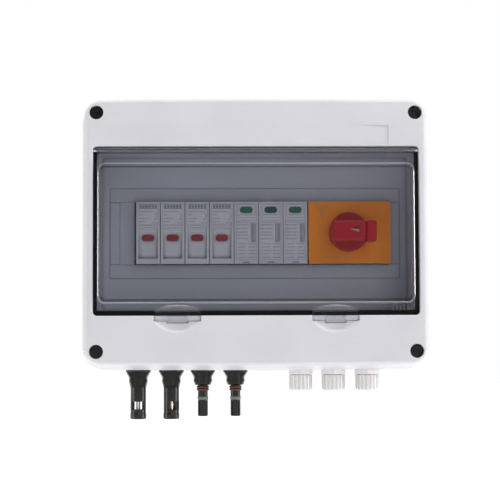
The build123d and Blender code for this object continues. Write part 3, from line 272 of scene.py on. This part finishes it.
TAB_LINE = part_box("window_door")[0].z + TAB_RISE
MATERIALS = {
    "cover_plastic": moulded("cover_abs", (0.485, 0.483, 0.51), 0.42, relief=0.02 * MM),
    # corner= gives the panel and device plastics painted shade in their corners
    "panel_plastic": moulded("panel_abs", (0.525, 0.54, 0.58), 0.48, corner=0.5),
    # the second tint is the painted shade of the door's steep walls, partly the longer path through them
    "smoked_window": smoked("smoked_polycarbonate", (0.80, 0.803, 0.828, 1.0), (0.30, 0.31, 0.33, 1.0),
                            (0.985, 0.985, 0.99, 1.0), TAB_LINE, 0.045, 0.02),
    "black_rubber": moulded("rubber_black", (0.006, 0.006, 0.007), 0.62, grain=0.25 * MM, drift=0.15, level=0.15),
    "black_plastic": moulded("polyamide_black", (0.007, 0.006, 0.005), 0.24, drift=0.2, level=0.4),
    "device_plastic": moulded("device_polyamide", (0.64, 0.645, 0.675), 0.38, relief=0.01 * MM, corner=0.6),
    # the second colour of each lamp window is its painted rim shade
    "clear_glass": lamp_window("lamp_red", (0.36, 0.02, 0.018, 1.0), (0.14, 0.006, 0.008, 1.0)),
    "green_window": lamp_window("status_green", (0.055, 0.20, 0.12, 1.0), (0.01, 0.06, 0.05, 1.0)),
    "knob_red": moulded("knob_red_plastic", (0.47, 0.007, 0.015), 0.36, relief=0.008 * MM, drift=0.06, level=0.35),
    "plate_yellow": moulded("plate_orange", (1.0, 0.30, 0.018), 0.45, drift=0.03, level=0.3),
    "steel": metal("zinc_steel", (0.62, 0.63, 0.65), 0.30),
    "brass": metal("brass_plain", (0.70, 0.52, 0.24), 0.28, stretch=(0.1, 1, 1)),
    "copper_tin": metal("tinned_copper", (0.72, 0.67, 0.60), 0.32),
    "ceramic": moulded("fuse_ceramic", (0.80, 0.79, 0.74), 0.35, drift=0.04),
    "gland_nylon": moulded("gland_polyamide", (0.66, 0.645, 0.63), 0.36, relief=0.01 * MM),
    "wire_black": moulded("sheath_black", (0.018, 0.018, 0.018), 0.45, drift=0.15),
    "wire_red": moulded("sheath_red", (0.50, 0.02, 0.02), 0.42, drift=0.08),
    "wire_green": moulded("sheath_green", (0.09, 0.36, 0.05), 0.42, drift=0.08),
    "o_ring": moulded("silicone_brown", (0.07, 0.012, 0.008), 0.5, drift=0.12),
}
for node in nodes.values():
    for place in node.material_slots:
        place.material = MATERIALS[place.material.name]

# the middle surge cartridge shows a bluer window than its neighbours
nodes["spd_window_2"].material_slots[0].material = lamp_window(
    "status_teal", (0.05, 0.12, 0.15, 1.0), (0.01, 0.05, 0.06, 1.0))

LABEL_PAPER = moulded("label_film", (0.66, 0.665, 0.70), 0.32, grain=0.8 * MM, relief=0.004 * MM, drift=0.015)
INK_GREY = ink("ink_grey", (0.20, 0.20, 0.23))
INK_LIGHT = ink("ink_light_grey", (0.40, 0.40, 0.44))
INK_BROWN = ink("ink_brown", (0.78, 0.27, 0.04))
BAND_GREY = moulded("band_grey", (0.13, 0.13, 0.12), 0.4, drift=0.08)
MARK_GREY = ink("mark_grey", (0.045, 0.045, 0.05))
# knob pointer colours: a painted shadow in the pointer's recess, and a pale arrow that is partly print, partly
# painted highlight
POINTER_PRINT_AND_HIGHLIGHT = ink("pointer_print_and_highlight", (0.62, 0.30, 0.29))
POINTER_RECESS_SHADOW = ink("pointer_recess_shadow", (0.05, 0.008, 0.01))


# ---------------------------------------------------------------- flat printed pieces

def bar(x0, x1, z0, z1):
    """Rectangle outline in millimetres, anticlockwise as seen from the front."""
    return [(x0, z0), (x1, z0), (x1, z1), (x0, z1)]


def rounded(x0, x1, z0, z1, radius, steps=5):
    """Rounded rectangle outline in millimetres."""
    points = []
    centres = ((x1 - radius, z1 - radius, 0), (x0 + radius, z1 - radius, 90),
               (x0 + radius, z0 + radius, 180), (x1 - radius, z0 + radius, 270))
    for cx, cz, start in centres:
        for step in range(steps + 1):
            angle = math.radians(start + 90 * step / steps)
            points.append((cx + radius * math.cos(angle), cz + radius * math.sin(angle)))
    return points


def stroke(x0, z0, x1, z1, width):
    """Thin straight line between two points in millimetres."""
    along = Vector((x1 - x0, z1 - z0)).normalized()
    side = Vector((-along.y, along.x)) * width / 2
    return [(x0 - side.x, z0 - side.y), (x1 - side.x, z1 - side.y),
            (x1 + side.x, z1 + side.y), (x0 + side.x, z0 + side.y)]


def words(rng, x0, x1, z, height):
    """A row of short bars that stands for a line of small print."""
    found = []
    x = x0
    while x < x1 - 0.5:
        width = min(rng.uniform(0.7, 2.2), x1 - x)
        found.append(bar(x, x + width, z - height / 2, z + height / 2))
        x += width + 0.35
    return found


def printed(name, body, centre, layers):
    """Piece made of flat outlines in millimetres about a centre point on a front face.

    layers is a list of (material, thickness below, thickness above, outlines), where the
    thicknesses are measured from the centre point's plane, towards the wall and the front.
    """
    mesh = bpy.data.meshes.new(name)
    build = bmesh.new()
    for index, (material, back, front, outlines) in enumerate(layers):
        mesh.materials.append(material)
        for outline in outlines:
            rings = []
            for depth in (back, -front):
                ring = [build.verts.new((centre.x + x * MM, centre.y + depth * MM, centre.z + z * MM))
                        for x, z in outline]
                rings.append(ring)
            faces = [build.faces.new(rings[1]), build.faces.new(list(reversed(rings[0])))]
            count = len(outline)
            for i in range(count):
                j = (i + 1) % count
                faces.append(build.faces.new((rings[0][i], rings[0][j], rings[1][j], rings[1][i])))
            for face in faces:
                face.material_index = index
    bmesh.ops.recalc_face_normals(build, faces=build.faces)
    build.to_mesh(mesh)
    build.free()
    piece = bpy.data.objects.new(name, mesh)
    bpy.context.scene.collection.objects.link(piece)
    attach(piece, body)
    return piece


def front_centre(node):
    """Middle of a node's front plane."""
    low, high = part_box(node)
    return Vector(((low.x + high.x) / 2, low.y, (low.z + high.z) / 2))


LABEL_POCKET = 0.3         # depth of the label pockets, millimetres
PAPER = 0.12               # label film thickness, millimetres
INK = 0.03


def fuse_label(index):
    """Film label of a fuse carrier: title bar, lines of small print and a fuse symbol."""
    rng = random.Random(100 + index)
    lines = []
    for z, x1 in ((15.4, 3.6), (13.0, -3.4), (10.4, -0.6), (8.0, -1.4), (5.6, 3.0)):
        lines += words(rng, -6.5, x1 + rng.uniform(-0.4, 0.4), z, 0.75)
    symbol = [stroke(4.6, 15.2, 6.6, 12.4, 0.5), stroke(6.6, 12.4, 5.4, 10.0, 0.5),
              bar(4.3, 6.3, 9.3, 9.8), bar(3.6, 6.9, 7.2, 7.6), bar(3.6, 6.9, 5.2, 5.6),
              bar(3.6, 4.0, 5.2, 7.6), bar(6.5, 6.9, 5.2, 7.6)]
    title = [bar(-6.6, 6.9, 17.5, 18.0), bar(-6.6, 6.9, 20.2, 20.7)]
    title += [bar(x, x + 1.7, 18.3, 19.9) for x in (-6.3, -4.1, -1.9, 0.3, 2.5, 4.7)]
    place = front_centre(f"fuse_carrier_{index}") + Vector((0, LABEL_POCKET * MM, 0))
    printed(f"fuse_label_{index}", f"carrier_{index}", place, [
        (LABEL_PAPER, 0.0, PAPER, [rounded(-7.3, 7.3, 4.1, 21.4, 0.6)]),
        (INK_GREY, 0.0, PAPER + INK, title),
        (INK_LIGHT, 0.0, PAPER + INK, lines + symbol),
    ])


def cartridge_label(index):
    """Two film labels of a surge cartridge: arch round the window, print, scale block and table."""
    rng = random.Random(200 + index)
    arch = [bar(-6.2, 6.2, 20.2, 20.55), bar(-6.5, -6.15, 12.4, 19.9), bar(6.15, 6.5, 12.4, 19.9)]
    under = words(rng, -5.6, 4.6, 13.0, 0.7)
    split = [bar(-7.0, 7.0, 10.9, 11.2)]
    rows = []
    for z in (5.7, 3.0, 0.4, -1.8, -4.3):
        rows += words(rng, -6.7, 1.4 + rng.uniform(-0.6, 0.4), z, 0.8)
    table = []
    for z in (-8.0, -10.4, -12.9, -15.3, -17.9):
        table += words(rng, -5.9, -0.4, z, 0.65) + words(rng, 1.6, 6.6, z, 0.8)
    scale = [bar(3.3 + 0.95 * step, 3.85 + 0.95 * step, -5.6, 6.8) for step in range(4)]
    scale.append(bar(3.3, 6.7, -6.6, -5.8))
    place = front_centre(f"spd_cartridge_{index}") + Vector((0, LABEL_POCKET * MM, 0))
    window = nodes[f"spd_window_{index}"]
    low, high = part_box(f"spd_window_{index}")
    edge = (high.x - low.x) / 2 / MM + 0.3
    wz0 = (low.z - place.z) / MM - 0.3
    wz1 = (high.z - place.z) / MM + 0.3
    film = [bar(-7.1, -edge, wz0, wz1), bar(edge, 7.1, wz0, wz1),
            bar(-7.1, 7.1, 8.8, wz0), bar(-7.1, 7.1, wz1, 21.2)]
    printed(f"cartridge_label_{index}", f"cartridge_{index}", place, [
        (LABEL_PAPER, 0.0, PAPER, film + [rounded(-7.1, 7.1, -19.4, 7.4, 0.4)]),
        (INK_LIGHT, 0.0, PAPER + INK, arch + under + split + rows + table),
        (INK_GREY, 0.0, PAPER + INK, scale),
    ])


def faceplate_print():
    """Faint generic marks on the isolator's plate."""
    place = front_centre("isolator_faceplate")
    wedge = [[(-25.5, 20.5), (-19.9, 9.0), (-14.3, 20.5)]]
    marks = wedge + [bar(1.3, 7.6, 18.2, 19.8), bar(-22.4, -21.3, -2.8, 6.4), bar(-17.9, -5.6, -18.3, -17.3)]
    printed("faceplate_print", "enclosure", place, [(INK_BROWN, 0.0, INK, marks)])


def knob_pointer():
    """Arrow inlay on the knob, towards its middle: a dark triangle painted as the shadow in the pointer's recess,
    and a pale piece that is partly the arrow's print, partly painted highlight on the recess's lit lower wall.
    """
    middle = front_centre("isolator_knob")
    # painted shadow: this dark triangle stands in for the shade inside the pointer's recess
    recess_shadow = [[(0.4, 1.3), (6.4, 3.9), (6.4, -1.6)]]
    # partly the arrow's own print, partly painted highlight on the lit lower wall of the recess
    light = [[(-0.8, 1.2), (5.9, 1.1), (6.1, -0.9), (3.4, -0.2)]]
    printed("knob_pointer", "knob", middle, [
        (POINTER_RECESS_SHADOW, 0.2, 0.05, recess_shadow),
        (POINTER_PRINT_AND_HIGHLIGHT, 0.2, 0.09, light),
    ])


def door_mark():
    """Small raised tally marks on the door's lower flange, at the right."""
    low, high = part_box("window_door")
    flange = Vector((high.x - 0.0105, -0.102, low.z + 0.0105))
    marks = [bar(-7 + 2.6 * step, -5.6 + 2.6 * step, -2.1, 2.1) for step in range(5)]
    printed("door_mark", "door", flange, [(MARK_GREY, 0.1, 0.12, marks)])


def sleeve(name, body, material, centre, radius, bottom, top, segments=48):
    """Thin upright ring with softened ends, in metres."""
    wall = 0.25 * MM
    soft = 0.12 * MM
    profile = [(radius - wall, bottom), (radius - soft, bottom), (radius, bottom + soft),
               (radius, top - soft), (radius - soft, top), (radius - wall, top)]
    mesh = bpy.data.meshes.new(name)
    build = bmesh.new()
    rings = []
    for step in range(segments):
        angle = math.tau * step / segments
        rings.append([build.verts.new((centre.x + r * math.cos(angle), centre.y + r * math.sin(angle), z))
                      for r, z in profile])
    count = len(profile)
    for step in range(segments):
        here, there = rings[step], rings[(step + 1) % segments]
        for i in range(count):
            j = (i + 1) % count
            face = build.faces.new((here[i], there[i], there[j], here[j]))
            face.smooth = True
    bmesh.ops.recalc_face_normals(build, faces=build.faces)
    build.to_mesh(mesh)
    build.free()
    mesh.materials.append(material)
    piece = bpy.data.objects.new(name, mesh)
    bpy.context.scene.collection.objects.link(piece)
    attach(piece, body)


def plug_band(index):
    """Grey code ring pushed onto a plug's barrel."""
    low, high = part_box(f"solar_plug_{index}")
    middle = (low + high) / 2
    top = low.z + PLUG_BAND_RISE + PLUG_BAND_H
    sleeve(f"plug_band_{index}", "enclosure", BAND_GREY, middle, PLUG_BAND_R,
           low.z + PLUG_BAND_RISE, top)


for number in range(1, 3):
    plug_band(number)
for number in range(1, FUSES + 1):
    fuse_label(number)
for number in range(1, CARTRIDGES + 1):
    cartridge_label(number)
faceplate_print()
knob_pointer()
door_mark()


# ---------------------------------------------------------------- stage, lights and camera

def make_floor():
    """Plain pale floor below the connectors."""
    low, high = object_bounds()
    level = low.z - FLOOR_DROP
    half = FLOOR_SIZE / 2
    mesh = bpy.data.meshes.new("studio_floor")
    mesh.from_pydata([(-half, -half, level), (half, -half, level), (half, half, level), (-half, half, level)],
                     [], [(0, 1, 2, 3)])
    g = Graph("floor_paint")
    tone = g.blend(g.spread(g.noise(0.6), 0.0, 1.0), (0.90, 0.90, 0.90, 1), (0.94, 0.94, 0.94, 1))
    mesh.materials.append(g.finish(g.add("ShaderNodeBsdfPrincipled", {
        "Base Color": tone, "Roughness": 0.9, "Emission Color": (1, 1, 1, 1), "Emission Strength": FLOOR_GLOW})))
    floor = bpy.data.objects.new("studio_floor", mesh)
    bpy.context.scene.collection.objects.link(floor)


def make_area_light(name, place, size, power):
    """Soft square light that faces the middle of the box."""
    data = bpy.data.lights.new(name, "AREA")
    data.shape = "RECTANGLE"
    data.size, data.size_y = size
    data.energy = power
    light = bpy.data.objects.new(name, data)
    bpy.context.scene.collection.objects.link(light)
    aim = (cad_box[0] + cad_box[1]) / 2 - Vector(place)
    light.matrix_world = Matrix.Translation(place) @ aim.to_track_quat("-Z", "Y").to_matrix().to_4x4()


def make_sun(name, place, strength, angle):
    """Wide soft light from the direction of a place."""
    data = bpy.data.lights.new(name, "SUN")
    data.energy = strength
    data.angle = math.radians(angle)
    light = bpy.data.objects.new(name, data)
    bpy.context.scene.collection.objects.link(light)
    light.matrix_world = (-Vector(place)).to_track_quat("-Z", "Y").to_matrix().to_4x4()


def make_world():
    """White surround behind the box that darkens towards the side the box faces."""
    world = bpy.data.worlds.new("studio")
    world.use_nodes = True
    tree = world.node_tree
    background = tree.nodes["Background"]
    direction = tree.nodes.new("ShaderNodeTexCoord")
    split = tree.nodes.new("ShaderNodeSeparateXYZ")
    ramp = tree.nodes.new("ShaderNodeMapRange")
    ramp.interpolation_type = "SMOOTHSTEP"
    ramp.inputs["From Min"].default_value = -0.75
    ramp.inputs["From Max"].default_value = 0.35
    ramp.inputs["To Min"].default_value = WORLD_DARK
    ramp.inputs["To Max"].default_value = WORLD_BRIGHT
    tree.links.new(direction.outputs["Generated"], split.inputs["Vector"])
    tree.links.new(split.outputs["Y"], ramp.inputs["Value"])
    tree.links.new(ramp.outputs["Result"], background.inputs["Strength"])
    background.inputs["Color"].default_value = (1.0, 1.0, 1.0, 1.0)
    bpy.context.scene.world = world


def make_camera():
    """Camera from its place and its yaw, pitch and roll."""
    forward = Vector((math.sin(CAMERA_YAW) * math.cos(CAMERA_PITCH),
                      math.cos(CAMERA_YAW) * math.cos(CAMERA_PITCH), math.sin(CAMERA_PITCH)))
    right = Vector((math.cos(CAMERA_YAW), -math.sin(CAMERA_YAW), 0.0))
    up = right.cross(forward)
    across = right * math.cos(CAMERA_ROLL) + up * math.sin(CAMERA_ROLL)
    upright = up * math.cos(CAMERA_ROLL) - right * math.sin(CAMERA_ROLL)
    data = bpy.data.cameras.new("camera")
    data.lens = CAMERA_LENS
    data.sensor_width = CAMERA_SENSOR
    data.shift_x, data.shift_y = CAMERA_SHIFT
    data.clip_start = 0.05
    data.clip_end = 50.0
    camera = bpy.data.objects.new("camera", data)
    turn = Matrix((across, upright, -forward)).transposed().to_4x4()
    camera.matrix_world = Matrix.Translation(CAMERA_PLACE) @ turn
    bpy.context.scene.collection.objects.link(camera)
    bpy.context.scene.camera = camera


make_floor()
make_world()
make_sun("key_sun", (0.55, -1.0, 0.75), 1.2, 50)
make_area_light("strip_right", (1.06, -0.25, 0.0), (0.24, 0.8), 5.5)
make_area_light("strip_left", (-1.06, -0.25, 0.0), (0.24, 0.8), 3.0)
make_area_light("strip_top", (0.0, -0.34, 0.98), (1.2, 0.14), 9.0)
make_camera()
bpy.context.scene.view_settings.view_transform = "Standard"
